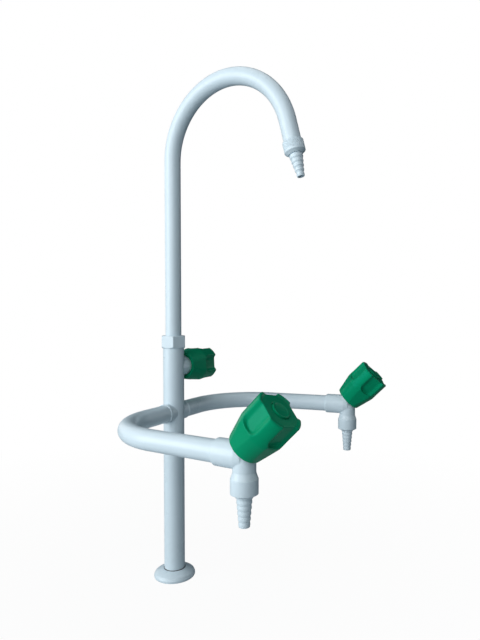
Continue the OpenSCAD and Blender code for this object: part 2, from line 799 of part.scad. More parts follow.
at_right_head() rotate([0, 0, right_turn]) spindle();  // right_spindle
at_right_head() rotate([0, 0, right_turn]) moving_disc();  // right_moving_disc
at_right_head() spindle_o_ring();  // right_spindle_o_ring
at_right_head() rotate([0, 0, right_turn]) spindle_clip();  // right_spindle_clip
at_right_head() rotate([0, 0, right_turn]) knob();  // right_knob
at_right_head() knob_screw();  // right_knob_screw
at_right_head() index_cap();  // right_index_cap

at_centre_head() rotate([0, 0, centre_turn]) spindle();  // centre_spindle
at_centre_head() rotate([0, 0, centre_turn]) moving_disc();  // centre_moving_disc
at_centre_head() spindle_o_ring();  // centre_spindle_o_ring
at_centre_head() rotate([0, 0, centre_turn]) spindle_clip();  // centre_spindle_clip
at_centre_head() rotate([0, 0, centre_turn]) knob();  // centre_knob
at_centre_head() knob_screw();  // centre_knob_screw
at_centre_head() index_cap();  // centre_index_cap
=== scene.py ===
# %% [markdown]
# # A laboratory gooseneck tap
# The tap stands on a bench: a white coated column with a swinging gooseneck on top, two side arms that
# end in angled valves with green knobs, and a third knob on the column. The solids come packed from the
# CAD model, in metres, and this lesson dresses them: it keeps the plain tubes, models the pieces whose
# edges and ribs show, gives every surface a finish, and lights the whole as in a small studio.

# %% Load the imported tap
import json
import math

import bpy
from mathutils import Matrix, Vector


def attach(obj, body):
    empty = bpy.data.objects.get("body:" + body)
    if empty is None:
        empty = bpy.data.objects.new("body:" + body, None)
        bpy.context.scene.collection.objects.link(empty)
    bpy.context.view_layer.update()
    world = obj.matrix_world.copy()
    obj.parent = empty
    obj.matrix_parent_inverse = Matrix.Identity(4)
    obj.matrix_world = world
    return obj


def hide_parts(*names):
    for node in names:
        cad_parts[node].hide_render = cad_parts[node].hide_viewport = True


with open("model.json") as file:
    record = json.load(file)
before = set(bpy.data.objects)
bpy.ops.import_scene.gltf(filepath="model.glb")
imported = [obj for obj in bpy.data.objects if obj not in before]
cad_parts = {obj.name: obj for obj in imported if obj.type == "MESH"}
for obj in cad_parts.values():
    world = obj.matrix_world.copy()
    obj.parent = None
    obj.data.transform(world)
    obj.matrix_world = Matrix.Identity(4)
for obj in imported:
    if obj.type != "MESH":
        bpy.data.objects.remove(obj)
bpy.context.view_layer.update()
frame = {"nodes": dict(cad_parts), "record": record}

# %% [markdown]
# ## The camera
# The photograph looks at the tap from its left front, a little above the arms. The camera could be set by
# eye, but here its place, turn and lens were fitted to points that can be named both in the photograph and
# on the solids, such as the foot, the ends of the arms and the top of the gooseneck. A camera looks along
# its own -Z, so its matrix is made of the picture's right, up and backward directions. The picture is
# upright, so the sensor's width spans its height.

# %% Set the camera
MM = 0.001
VIEW_FROM = Vector((-545.9, -395.3, 327.7)) * MM
PICTURE_RIGHT = Vector((0.39752, -0.91757, 0.00622))
PICTURE_UP = Vector((0.04624, 0.02681, 0.99857))
PICTURE_BACK = PICTURE_RIGHT.cross(PICTURE_UP)
FOCAL_PX = 539.1
PICTURE_H_PX = 640
SENSOR_MM = 36
SHIFT_RIGHT = -0.0827
SHIFT_UP = 0.0337

camera_data = bpy.data.cameras.new("picture_camera")
camera_data.sensor_width = SENSOR_MM
camera_data.lens = FOCAL_PX / PICTURE_H_PX * SENSOR_MM
camera_data.shift_x = SHIFT_RIGHT
camera_data.shift_y = SHIFT_UP
camera = bpy.data.objects.new("picture_camera", camera_data)
bpy.context.scene.collection.objects.link(camera)
turn = Matrix((PICTURE_RIGHT, PICTURE_UP, PICTURE_BACK)).transposed()
camera.matrix_world = Matrix.Translation(VIEW_FROM) @ turn.to_4x4()
bpy.context.scene.camera = camera
print("lens", round(camera_data.lens, 1), "mm")

# %% [markdown]
# ## Lamps
# Three soft lamps light the tap. The strongest stands to the left of the picture, like a window. It leaves
# the right side of every tube in shade, which is what makes the tubes look round in the photograph. A weaker
# one behind and above the camera lifts the fronts a little, and one overhead lifts the tops.

# %% Hang the lamps
TAP_MIDDLE = Vector((0, -0.06, 0.25))
LAMPS = {
    "window_lamp": {"place": (-1.35, 0.95, 0.68), "size": 1.3, "watts": 25.5, "tint": (0.98, 0.99, 1.0)},
    "camera_side_lamp": {"place": (-1.2, -0.4, 0.88), "size": 0.9, "watts": 6, "tint": (0.97, 0.99, 1.0)},
    "overhead_lamp": {"place": (0.1, -0.05, 2.1), "size": 1.4, "watts": 4.5, "tint": (0.95, 0.99, 1.0)},
}


def soft_lamp(name, place, size, watts, tint):
    """A square area lamp, turned towards the middle of the tap."""
    data = bpy.data.lights.new(name, "AREA")
    data.shape = "SQUARE"
    data.size = size
    data.energy = watts
    data.color = tint
    lamp = bpy.data.objects.new(name, data)
    bpy.context.scene.collection.objects.link(lamp)
    lamp.location = place
    lamp.rotation_euler = (TAP_MIDDLE - Vector(place)).to_track_quat("-Z", "Y").to_euler()


for name, plan in LAMPS.items():
    soft_lamp(name, **plan)
print("lamps:", list(LAMPS))

# %% [markdown]
# ## Sky
# The sky adds a weak cool fill. The camera, mirrors and glass see a plain white room instead, so that the
# background is white while the light that falls on the tap stays at a plain level. The Light Path node tells
# these rays from the rest.

# %% Set the sky
WHITE = (1, 1, 1, 1)
SKY_COLOUR = (0.66, 0.86, 1.0, 1)
SKY_STRENGTH = 0.1

bpy.context.scene.view_settings.view_transform = "Standard"
sky = bpy.data.worlds.new("white_room")
bpy.context.scene.world = sky
sky.use_nodes = True
nodes = sky.node_tree.nodes
links = sky.node_tree.links
nodes.clear()
seen = nodes.new("ShaderNodeLightPath")
camera_or_glossy = nodes.new("ShaderNodeMath")
camera_or_glossy.operation = "MAXIMUM"
any_seen = nodes.new("ShaderNodeMath")
any_seen.operation = "MAXIMUM"
fill = nodes.new("ShaderNodeBackground")
fill.inputs["Color"].default_value = SKY_COLOUR
fill.inputs["Strength"].default_value = SKY_STRENGTH
white = nodes.new("ShaderNodeBackground")
white.inputs["Color"].default_value = WHITE
white.inputs["Strength"].default_value = 1
either = nodes.new("ShaderNodeMixShader")
out = nodes.new("ShaderNodeOutputWorld")
links.new(seen.outputs["Is Camera Ray"], camera_or_glossy.inputs[0])
links.new(seen.outputs["Is Glossy Ray"], camera_or_glossy.inputs[1])
links.new(camera_or_glossy.outputs[0], any_seen.inputs[0])
links.new(seen.outputs["Is Transmission Ray"], any_seen.inputs[1])
links.new(any_seen.outputs[0], either.inputs["Fac"])
links.new(fill.outputs[0], either.inputs[1])
links.new(white.outputs[0], either.inputs[2])
links.new(either.outputs[0], out.inputs["Surface"])
print("sky:", sky.name)

# %% [markdown]
# ## Floor
# A pale floor carries the tap's shadow. It is a large disc, and belongs to the stage and not to the tap.

# %% Lay the floor
FLOOR_R = 7
FLOOR_SIDES = 96

bpy.ops.object.select_all(action="DESELECT")
bpy.ops.mesh.primitive_circle_add(vertices=FLOOR_SIDES, radius=FLOOR_R, fill_type="NGON", location=(0, 0, 0))
floor = bpy.context.object
floor.name = "studio_floor"
print("floor:", floor.name)

# %% [markdown]
# More light could make the floor white, but it would bleach the tap as well. Instead, most of what the camera
# sees of the floor is a plain white glow, so that it joins the white room without a line, and the rest is a
# real matt surface, which keeps the shadow. The glow grows to all of it away from the tap, where the lamps'
# light runs out.

# %% Paint the floor
FLOOR_COLOUR = (0.50, 0.55, 0.58, 1)
GLOW_AT_TAP = 0.96
GLOW_GROWS_FROM = 0.12
GLOW_IS_ALL_AT = 0.75

floor_finish = bpy.data.materials.new("pale_floor")
floor_finish.use_nodes = True
nodes = floor_finish.node_tree.nodes
links = floor_finish.node_tree.links
nodes.clear()
seen = nodes.new("ShaderNodeLightPath")
matt = nodes.new("ShaderNodeBsdfDiffuse")
matt.inputs["Color"].default_value = FLOOR_COLOUR
glow = nodes.new("ShaderNodeEmission")
glow.inputs["Color"].default_value = WHITE
spot = nodes.new("ShaderNodeTexCoord")
reach = nodes.new("ShaderNodeVectorMath")
reach.operation = "LENGTH"
fade = nodes.new("ShaderNodeMapRange")
fade.inputs["From Min"].default_value = GLOW_GROWS_FROM
fade.inputs["From Max"].default_value = GLOW_IS_ALL_AT
fade.inputs["To Min"].default_value = GLOW_AT_TAP
fade.inputs["To Max"].default_value = 1
share = nodes.new("ShaderNodeMath")
share.operation = "MULTIPLY"
either = nodes.new("ShaderNodeMixShader")
out = nodes.new("ShaderNodeOutputMaterial")
links.new(spot.outputs["Object"], reach.inputs[0])
links.new(reach.outputs["Value"], fade.inputs["Value"])
links.new(seen.outputs["Is Camera Ray"], share.inputs[0])
links.new(fade.outputs["Result"], share.inputs[1])
links.new(share.outputs[0], either.inputs["Fac"])
links.new(matt.outputs[0], either.inputs[1])
links.new(glow.outputs[0], either.inputs[2])
links.new(either.outputs[0], out.inputs["Surface"])
floor.data.materials.append(floor_finish)
print("floor finish:", floor_finish.name)

# %% [markdown]
# ## Dark cards
# White tubes in a white room lose their edges. A photographer stands dark cards beside and behind them, just
# out of the picture. The tubes reflect the card behind them as a dark rim. The card on the right only keeps
# light off the shaded sides and leaves no reflection, because the photograph has a pale gleam there. The
# camera itself sees neither card.

# %% Stand the cards
CARD_COLOUR = (0.02, 0.05, 0.07, 1)
CARD_ROUGHNESS = 0.9
CARDS = {
    "right_card": {"place": (0.75, -1.15, 0.55), "size": 1.8, "reflected": False},
    "back_card": {"place": (1.25, 0.35, 0.75), "size": 2.4, "reflected": True},
}

card_finish = bpy.data.materials.new("black_card")
card_finish.use_nodes = True
card_shader = card_finish.node_tree.nodes["Principled BSDF"]
card_shader.inputs["Base Color"].default_value = CARD_COLOUR
card_shader.inputs["Roughness"].default_value = CARD_ROUGHNESS
for name, plan in CARDS.items():
    bpy.ops.object.select_all(action="DESELECT")
    bpy.ops.mesh.primitive_grid_add(x_subdivisions=2, y_subdivisions=2, size=plan["size"])
    card = bpy.context.object
    card.name = name
    card.location = plan["place"]
    card.rotation_euler = (TAP_MIDDLE - card.location).to_track_quat("Z", "Y").to_euler()
    card.data.materials.append(card_finish)
    card.visible_camera = False
    card.visible_glossy = plan["reflected"]
print("cards:", list(CARDS))

# %% [markdown]
# ## Shared effects
# Each finish is a Principled shader fed by small procedural patterns on Object coordinates, in metres. A
# picture of a surface could feed it too, but a pattern needs no file and stays sharp from close by. Two
# effects are shared, so each is a node group: a fine grain that lifts the surface a little, and a slow
# clouding that varies colour and gloss. The scale of a noise counts its spots along a metre, so at 1000 a
# spot is about a millimetre wide.

# %% Group the grain
WAVE_SHARE = 0.6


def new_group(name, ins, outs):
    """An empty shader node group with named sockets: (label, socket type, start value)."""
    group = bpy.data.node_groups.new(name, "ShaderNodeTree")
    for label, kind, start in ins:
        socket = group.interface.new_socket(name=label, in_out="INPUT", socket_type=kind)
        if start is not None:
            socket.default_value = start
    for label, kind in outs:
        group.interface.new_socket(name=label, in_out="OUTPUT", socket_type=kind)
    entry = group.nodes.new("NodeGroupInput")
    leave = group.nodes.new("NodeGroupOutput")
    return group, entry, leave


def noise(tree, detail, roughness=0.5):
    """A noise texture, not yet given coordinates or a scale."""
    node = tree.nodes.new("ShaderNodeTexNoise")
    node.inputs["Detail"].default_value = detail
    node.inputs["Roughness"].default_value = roughness
    return node


grain, entry, leave = new_group(
    "surface_grain",
    [("Vector", "NodeSocketVector", None), ("Fine scale", "NodeSocketFloat", None),
     ("Wave scale", "NodeSocketFloat", None), ("Wave share", "NodeSocketFloat", WAVE_SHARE)],
    [("Height", "NodeSocketFloat")],
)
fine = noise(grain, detail=3)
wave = noise(grain, detail=1)
blend = grain.nodes.new("ShaderNodeMix")
grain.links.new(entry.outputs["Vector"], fine.inputs["Vector"])
grain.links.new(entry.outputs["Vector"], wave.inputs["Vector"])
grain.links.new(entry.outputs["Fine scale"], fine.inputs["Scale"])
grain.links.new(entry.outputs["Wave scale"], wave.inputs["Scale"])
grain.links.new(entry.outputs["Wave share"], blend.inputs["Factor"])
grain.links.new(fine.outputs["Fac"], blend.inputs["A"])
grain.links.new(wave.outputs["Fac"], blend.inputs["B"])
grain.links.new(blend.outputs["Result"], leave.inputs["Height"])
print("group:", grain.name)

# %% [markdown]
# A noise mostly stays near its middle value, so the clouding stretches that middle part to its whole range,
# from Low to High.

# %% Group the clouding
CLOUD_DARK = 0.3
CLOUD_LIGHT = 0.7

cloud, entry, leave = new_group(
    "slow_cloud",
    [("Vector", "NodeSocketVector", None), ("Scale", "NodeSocketFloat", None),
     ("Low", "NodeSocketFloat", 0.0), ("High", "NodeSocketFloat", 1.0)],
    [("Value", "NodeSocketFloat")],
)
drift = noise(cloud, detail=5, roughness=0.55)
spread = cloud.nodes.new("ShaderNodeMapRange")
spread.inputs["From Min"].default_value = CLOUD_DARK
spread.inputs["From Max"].default_value = CLOUD_LIGHT
cloud.links.new(entry.outputs["Vector"], drift.inputs["Vector"])
cloud.links.new(entry.outputs["Scale"], drift.inputs["Scale"])
cloud.links.new(drift.outputs["Fac"], spread.inputs["Value"])
cloud.links.new(entry.outputs["Low"], spread.inputs["To Min"])
cloud.links.new(entry.outputs["High"], spread.inputs["To Max"])
cloud.links.new(spread.outputs["Result"], leave.inputs["Value"])
print("group:", cloud.name)

# %% [markdown]
# ## One recipe for a finish
# The finishes differ in their colours, gloss and grain, not in how they are wired. The recipe takes two
# tones that the slow cloud mixes, a range of roughness, and a grain height. Numbers that are the same all
# over, such as the strength and the tint of the shine, go straight on the shader.

# %% Write the recipe
FINISHES = {}
GLOSS_CLOUD_RATIO = 3.1
WAVE_LENGTH_RATIO = 5


def finish(slot, tones, gloss, grain_scale, grain_mm, cloud_scale=14.0, **plain):
    """A Principled finish for a material slot: two tones, a roughness range and a grain."""
    material = bpy.data.materials.new(slot)
    material.use_nodes = True
    tree = material.node_tree
    shader = tree.nodes["Principled BSDF"]
    place = tree.nodes.new("ShaderNodeTexCoord")
    tone_cloud = tree.nodes.new("ShaderNodeGroup")
    tone_cloud.node_tree = cloud
    tone_cloud.inputs["Scale"].default_value = cloud_scale
    gloss_cloud = tree.nodes.new("ShaderNodeGroup")
    gloss_cloud.node_tree = cloud
    gloss_cloud.inputs["Scale"].default_value = cloud_scale * GLOSS_CLOUD_RATIO
    gloss_cloud.inputs["Low"].default_value = gloss[0]
    gloss_cloud.inputs["High"].default_value = gloss[1]
    tone = tree.nodes.new("ShaderNodeMix")
    tone.data_type = "RGBA"
    tone.inputs["A"].default_value = (*tones[0], 1)
    tone.inputs["B"].default_value = (*tones[1], 1)
    skin = tree.nodes.new("ShaderNodeGroup")
    skin.node_tree = grain
    skin.inputs["Fine scale"].default_value = grain_scale
    skin.inputs["Wave scale"].default_value = grain_scale / WAVE_LENGTH_RATIO
    bump = tree.nodes.new("ShaderNodeBump")
    bump.inputs["Strength"].default_value = 1
    bump.inputs["Distance"].default_value = grain_mm * MM
    for user in (tone_cloud, gloss_cloud, skin):
        tree.links.new(place.outputs["Object"], user.inputs["Vector"])
    tree.links.new(tone_cloud.outputs["Value"], tone.inputs["Factor"])
    tree.links.new(tone.outputs["Result"], shader.inputs["Base Color"])
    tree.links.new(gloss_cloud.outputs["Value"], shader.inputs["Roughness"])
    tree.links.new(skin.outputs["Height"], bump.inputs["Height"])
    tree.links.new(bump.outputs["Normal"], shader.inputs["Normal"])
    for socket, value in plain.items():
        shader.inputs[socket.replace("_", " ")].default_value = value
    FINISHES[slot] = material
    print("finish:", slot)


print("recipe: two tones, a range of gloss, a grain")

# %% [markdown]
# ## The seven finishes
# The brass under the white is coated with epoxy powder: pale blue-white, half gloss, with the slight orange
# peel that powder leaves when it melts. The knobs are moulded green plastic. Their shine is weak and tinted
# blue-green, so that the flutes don't look chalky. Of the rubber only the line at the foot shows, and that
# black line is painted shade: it stands in for the shadow in the gap round the column. The brass, ceramic,
# steel and slippery washers inside are seen only when the tap is taken apart.

# %% Mix the finishes
finish("white_coat", tones=((0.62, 0.735, 0.80), (0.65, 0.765, 0.83)), gloss=(0.26, 0.34),
       grain_scale=1100, grain_mm=0.035, cloud_scale=11.0, Specular_IOR_Level=0.35)
finish("green_plastic", tones=((0.002, 0.252, 0.118), (0.002, 0.277, 0.130)), gloss=(0.18, 0.24),
       grain_scale=1500, grain_mm=0.015, cloud_scale=40.0, Specular_IOR_Level=0.11,
       Specular_Tint=(0.03, 0.6, 0.7, 1.0))
finish("bare_brass", tones=((0.62, 0.40, 0.13), (0.70, 0.47, 0.17)), gloss=(0.22, 0.38),
       grain_scale=1800, grain_mm=0.02, Metallic=1.0)
finish("black_rubber", tones=((0.012, 0.012, 0.013), (0.022, 0.022, 0.024)), gloss=(0.60, 0.75),
       grain_scale=2200, grain_mm=0.05)
finish("disc_ceramic", tones=((0.80, 0.78, 0.72), (0.86, 0.84, 0.79)), gloss=(0.12, 0.2),
       grain_scale=2600, grain_mm=0.008)
finish("plain_steel", tones=((0.50, 0.51, 0.53), (0.58, 0.59, 0.60)), gloss=(0.25, 0.38),
       grain_scale=1900, grain_mm=0.015, Metallic=1.0)
finish("white_ptfe", tones=((0.84, 0.84, 0.82), (0.88, 0.88, 0.86)), gloss=(0.45, 0.55),
       grain_scale=1400, grain_mm=0.02)

# %% [markdown]
# ## Dress the solids
# The record says which finish each solid takes, so one short loop hands them out. Solids that a finer
# piece replaces later get a finish too, and are then hidden.

# %% Hand out the finishes
for part in frame["record"]["subparts"]:
    solid = frame["nodes"][part["node"]]
    solid.data.materials.clear()
    solid.data.materials.append(FINISHES[part["material_slot"]])

# %% [markdown]
# ## Workshop helpers
# Habits of hand modelling become helpers. One piece is selected alone before an operator runs, because an
# operator acts on all that is selected. A modifier is applied as soon as it is set, so that the next step
# works on the real mesh. A finished piece is handed over: it gets its finish, the solids that it stands for
# and the body that it rides on.

# %% Write the first helpers


def only(piece):
    """Select one object alone and make it the active one."""
    bpy.ops.object.select_all(action="DESELECT")
    piece.select_set(True)
    bpy.context.view_layer.objects.active = piece


def shaped_by(piece, kind, **settings):
    """Add a modifier, set it and apply it."""
    only(piece)
    modifier = piece.modifiers.new(kind.lower(), kind)
    for key, value in settings.items():
        setattr(modifier, key, value)
    bpy.ops.object.modifier_apply(modifier=modifier.name)


def hand_over(piece, body, slot, *solids):
    """Give a piece its finish, its body and the solids that it stands for."""
    piece.data.materials.clear()
    piece.data.materials.append(FINISHES[slot])
    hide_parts(*solids)
    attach(piece, body)
    print(piece.name, "faces:", len(piece.data.polygons))


print("helpers: select, shape, hand over")

# %% [markdown]
# ## Turned pieces
# The foot, the nuts, the nozzles and the caps are turned on a lathe, and a knob starts as a turned form, so
# they are made in the same way: a circle is extruded from ring to ring along a profile, and each new ring is
# scaled to its radius. The spin operator could sweep a profile too, but it leaves a seam. A profile that
# comes back to its first ring closes into a hollow piece; one that doesn't gets flat ends. A bevel then
# eases the edges. The sizes of pieces are in millimetres.

# %% Turn a profile and ease its edges
MERGE_REACH = 1e-6
EASE_STEPS = 3
SMOOTH_ANGLE = math.radians(35)


def turned(name, rings, sides=96):
    """A turned piece about Z from (radius, height) rings in millimetres."""
    bpy.ops.object.select_all(action="DESELECT")
    radius, height = rings[0]
    bpy.ops.mesh.primitive_circle_add(vertices=sides, radius=radius * MM, location=(0, 0, height * MM))
    piece = bpy.context.object
    piece.name = name
    piece.data.name = name
    bpy.ops.object.transform_apply(location=True, rotation=True, scale=True)
    bpy.ops.object.mode_set(mode="EDIT")
    bpy.ops.mesh.select_all(action="SELECT")
    for new_radius, new_height in rings[1:]:
        rise = (0, 0, (new_height - height) * MM)
        bpy.ops.mesh.extrude_region_move(TRANSFORM_OT_translate={"value": rise})
        grow = new_radius / radius
        bpy.ops.transform.resize(value=(grow, grow, 1), center_override=(0, 0, new_height * MM))
        radius, height = new_radius, new_height
    bpy.ops.mesh.select_all(action="SELECT")
    bpy.ops.mesh.remove_doubles(threshold=MERGE_REACH)
    bpy.ops.mesh.fill_holes(sides=0)
    bpy.ops.mesh.normals_make_consistent(inside=False)
    bpy.ops.object.mode_set(mode="OBJECT")
    return piece


def eased(piece, radius_mm, from_angle=24):
    """Round the edges as a coat or a mould does, then shade the rest smooth."""
    shaped_by(piece, "BEVEL", width=radius_mm * MM, segments=EASE_STEPS, limit_method="ANGLE",
              angle_limit=math.radians(from_angle))
    only(piece)
    bpy.ops.object.shade_smooth_by_angle(angle=SMOOTH_ANGLE)


print("helpers: turn, ease")

# %% [markdown]
# ## The foot
# The foot is a low domed flange with a rounded rim. A squashed ball could give the dome, but the real one is
# flatter, so its profile blends an ellipse and a cone. The underside has a recess for the gasket.

# %% Turn the foot
GASKET_H = 1.5
FLANGE_R = 24.95
FLANGE_HOLE_R = 13.2
FLANGE_EDGE_H = 5
FLANGE_H = 10.5
FLANGE_RECESS_R = 24
FLANGE_RIM = [(24.2, 0.05), (24.6, 0.4), (FLANGE_R, 1.4), (FLANGE_R, 3)]
DOME_R = FLANGE_R - 1
DOME_STEPS = 14
DOME_ROUND_SHARE = 0.4

dome = []
for step in range(DOME_STEPS + 1):
    lean = math.radians(90 * step / DOME_STEPS)
    rise = DOME_ROUND_SHARE * math.sin(lean) + (1 - DOME_ROUND_SHARE) * (1 - math.cos(lean))
    dome.append((FLANGE_HOLE_R + (DOME_R - FLANGE_HOLE_R) * math.cos(lean),
                 FLANGE_EDGE_H + (FLANGE_H - FLANGE_EDGE_H) * rise))
underside = [(FLANGE_HOLE_R, GASKET_H), (FLANGE_RECESS_R, GASKET_H)]
foot = turned("foot_flange", underside + FLANGE_RIM + dome + [underside[0]])
eased(foot, radius_mm=0.35)
hand_over(foot, "stand", "white_coat", "base_flange")

# %% [markdown]
# The rubber gasket under the foot has a sleeve that fills the gap round the column. Its top is raised just
# above the top of the foot, so the black rubber shows there as a dark line. That line is painted shade: it
# stands in for the shadow in the gap at the foot of the column. It is built as an edge of the gasket rather
# than drawn on the column.

# %% Turn the gasket
GASKET_R = 22.4
SLEEVE_R = 12.55
SLEEVE_OUTER_R = FLANGE_HOLE_R - 0.05
# The sleeve's top sits just above the foot, so its black rubber shows as painted shade in the gap round the
# column.
SHADE_BAND_TOP = FLANGE_H + 0.5

gasket_profile = [
    (SLEEVE_R, 0), (GASKET_R, 0), (GASKET_R, GASKET_H), (SLEEVE_OUTER_R, GASKET_H),
    (SLEEVE_OUTER_R, SHADE_BAND_TOP), (SLEEVE_R, SHADE_BAND_TOP),
]
gasket = turned("foot_gasket", gasket_profile + [gasket_profile[0]])
eased(gasket, radius_mm=0.15)
hand_over(gasket, "stand", "black_rubber", "base_gasket")

# %% [markdown]
# ## Places of the repeated groups
# A side valve's outlet points down, its knob leans 45 degrees to the front, and the column's knob points to
# the right. Pieces could be modelled where they stand, but along Z a profile is easier to read. So each group
# gets one matrix, and its pieces are modelled along Z and settled with it.

# %% Work out the places of the valves
ARM_HALF_SPAN = 144.5
OUTLET_REACH = 177
ARM_Z = 205.5
ARM_SPLAY = math.radians(6.3)
STEM_DROP = 17
HEAD_TILT = math.radians(45)
HEAD_OFFSET = 4.7
COLUMN_KNOB = (11.5, 0, 261)


def moved(x, y, z):
    """A shift in millimetres."""
    return Matrix.Translation(Vector((x, y, z)) * MM)


def side_place(side):
    """The middle of a side valve: -1 is the left one, 1 the right one."""
    splayed = Matrix.Rotation(side * ARM_SPLAY, 4, "Z")
    return moved(side * ARM_HALF_SPAN, -OUTLET_REACH, ARM_Z) @ splayed


HEAD_LEAN = Matrix.Rotation(HEAD_TILT, 4, "X") @ moved(0, HEAD_OFFSET, 0)
OUTLET_DOWN = moved(0, 0, -STEM_DROP) @ Matrix.Rotation(math.pi, 4, "X")
HEADS = {
    "left": side_place(-1) @ HEAD_LEAN,
    "right": side_place(1) @ HEAD_LEAN,
    "centre": moved(*COLUMN_KNOB) @ Matrix.Rotation(math.radians(90), 4, "Y"),
}
OUTLETS = {"left": side_place(-1) @ OUTLET_DOWN, "right": side_place(1) @ OUTLET_DOWN}
print("heads:", list(HEADS), "outlets:", list(OUTLETS))

# %% [markdown]
# The nozzle of the gooseneck hangs at the end of a bend and a short straight tail. The neck itself is turned
# a little about the column.

# %% Work out the place of the spout
NECK_BEND_R = 82
NECK_ARC_Z = 507.5
NECK_SWEEP = math.radians(164.5)
NECK_TAIL = 26.5
NECK_TURN = math.radians(-7)
FERRULE_LIP = 1.5

neck_end = moved(
    0,
    -NECK_BEND_R + NECK_BEND_R * math.cos(NECK_SWEEP) - NECK_TAIL * math.sin(NECK_SWEEP),
    NECK_ARC_Z + NECK_BEND_R * math.sin(NECK_SWEEP) + NECK_TAIL * math.cos(NECK_SWEEP),
)
SPOUT = (Matrix.Rotation(NECK_TURN, 4, "Z") @ neck_end @ Matrix.Rotation(NECK_SWEEP, 4, "X")
         @ moved(0, 0, FERRULE_LIP))
print("spout at", [round(v, 4) for v in SPOUT.translation])

# %% [markdown]
# ## Hose nozzles
# A hose nozzle is a taper of five beads that hold a hose. The coat has filled the grooves between them, so
# the beads are low and round. An array could repeat one bead, but each is smaller than the last, so a loop
# adds their rings to one profile. The top of a bead and the start of its fall are shares of the pitch. The
# open tip is countersunk, and the root of the nozzle is a wide seat that its nut holds.

# %% Write the profile of a nozzle
BEADS = 5
BEAD_DEPTH = 0.35
BEAD_TOP = 0.4
BEAD_FALL = 0.65
BEAD_FALL_DEPTH = 0.05
BORE_R = 2.5
SEAT_R = 8.1
SEAT_H = 1.5
SEAT_LIFT = 1.6
SHANK_R = 6.75
FIRST_BEAD = 4.95
TIP_ROUND = 0.4
MOUTH_WALL = 1.2
MOUTH_DEPTH = 7
NOZZLE_SIDES = 72


def beaded_nozzle(name, nipple, big_r, small_r, length):
    """A beaded nozzle along Z, from inside its nut to its open tip."""
    low = nipple + SEAT_LIFT
    first = low + FIRST_BEAD
    pitch = length / BEADS
    shrink = (big_r - small_r) / (BEADS - 1)
    rings = [(BORE_R, low), (SEAT_R, low), (SEAT_R, low + SEAT_H), (SHANK_R, low + SEAT_H)]
    for bead in range(BEADS):
        wide = big_r - bead * shrink
        start = first + bead * pitch
        rings += [(wide - BEAD_DEPTH, start), (wide, start + BEAD_TOP * pitch),
                  (wide - BEAD_FALL_DEPTH, start + BEAD_FALL * pitch)]
    tip = first + length
    rings += [(small_r - TIP_ROUND, tip), (small_r - MOUTH_WALL, tip), (BORE_R, tip - MOUTH_DEPTH),
              (BORE_R, low)]
    nozzle = turned(name, rings, sides=NOZZLE_SIDES)
    eased(nozzle, radius_mm=0.3)
    return nozzle


print("nozzle:", BEADS, "beads")

# %% [markdown]
# The two side nozzles are alike, and the one on the gooseneck tapers more. A finished piece is moved to its
# place and frozen there, so that its object stays at the origin like the solids.

# %% Set the nozzles


def settle(piece, place):
    """Put a finished piece in its place and freeze it, with its object at the origin."""
    only(piece)
    piece.matrix_world = place
    bpy.ops.object.transform_apply(location=True, rotation=True, scale=True)


for side, place in OUTLETS.items():
    nozzle = beaded_nozzle(side + "_barbed_nozzle", nipple=14, big_r=6.9, small_r=5.2, length=24.5)
    settle(nozzle, place)
    hand_over(nozzle, "stand", "white_coat", side + "_hose_nozzle")
spout_nozzle = beaded_nozzle("spout_barbed_nozzle", nipple=4.5, big_r=7.2, small_r=4.3, length=23.5)
settle(spout_nozzle, SPOUT)
hand_over(spout_nozzle, "gooseneck", "white_coat", "spout_nozzle")

# %% [markdown]
# ## Outlet nuts
# Under each side valve a round nut holds the nozzle: it flares out from the stem, runs straight, and turns
# in at the bottom. Everything on it is soft, because it was coated after it was screwed on. The solid has a
# plain shoulder, so the nut is turned anew with the flare that the photograph shows.

# %% Turn the outlet nuts
NUT_HOLE_R = 7
NUT_BORE_R = 8.35
NUT_FLOOR = 2.4
NUT_R = 12.3
NUT_TOP = -4
NUT_END = 19.55
NUT_FLARE = [
    (10.2, NUT_TOP), (10.45, -2.4), (10.95, -0.9), (11.5, 0.8), (11.9, 2.1), (12.25, 2.4), (NUT_R, 3.2),
]
NUT_FOOT = [(NUT_R, NUT_END - 3.8), (8.3, NUT_END - 1.7), (7.7, NUT_END - 1.4), (7.6, NUT_END)]
NUT_INSIDE = [
    (NUT_HOLE_R, NUT_END), (NUT_HOLE_R, NUT_END - NUT_FLOOR), (NUT_BORE_R, NUT_END - NUT_FLOOR),
    (NUT_BORE_R, NUT_TOP),
]

for side, place in OUTLETS.items():
    nut = turned(side + "_outlet_nut", NUT_INSIDE + NUT_FLARE + NUT_FOOT + [NUT_INSIDE[0]])
    eased(nut, radius_mm=0.3, from_angle=20)
    settle(nut, place)
    hand_over(nut, "stand", "white_coat", side + "_nozzle_nut")

# %% [markdown]
# ## The knurled spout collar
# The collar at the end of the gooseneck is knurled on its upper half, so that it can be turned by hand. Bump
# in the finish could suggest the knurl, but a real relief also shows at the collar's edge. The collar is
# turned first, with a fine grid of points where the knurl goes.

# %% Turn the collar
COLLAR_R = 11.4
COLLAR_BORE_R = 9.8
COLLAR_STEP_Z = 0.05
COLLAR_TOP = -4
COLLAR_END = 10.05
COLLAR_FLOOR_Z = COLLAR_END - NUT_FLOOR
KNURL_ROWS = 8
KNURL_SIDES = 60
KNURL_LOW = COLLAR_TOP + 1.0
KNURL_HIGH = 4.6

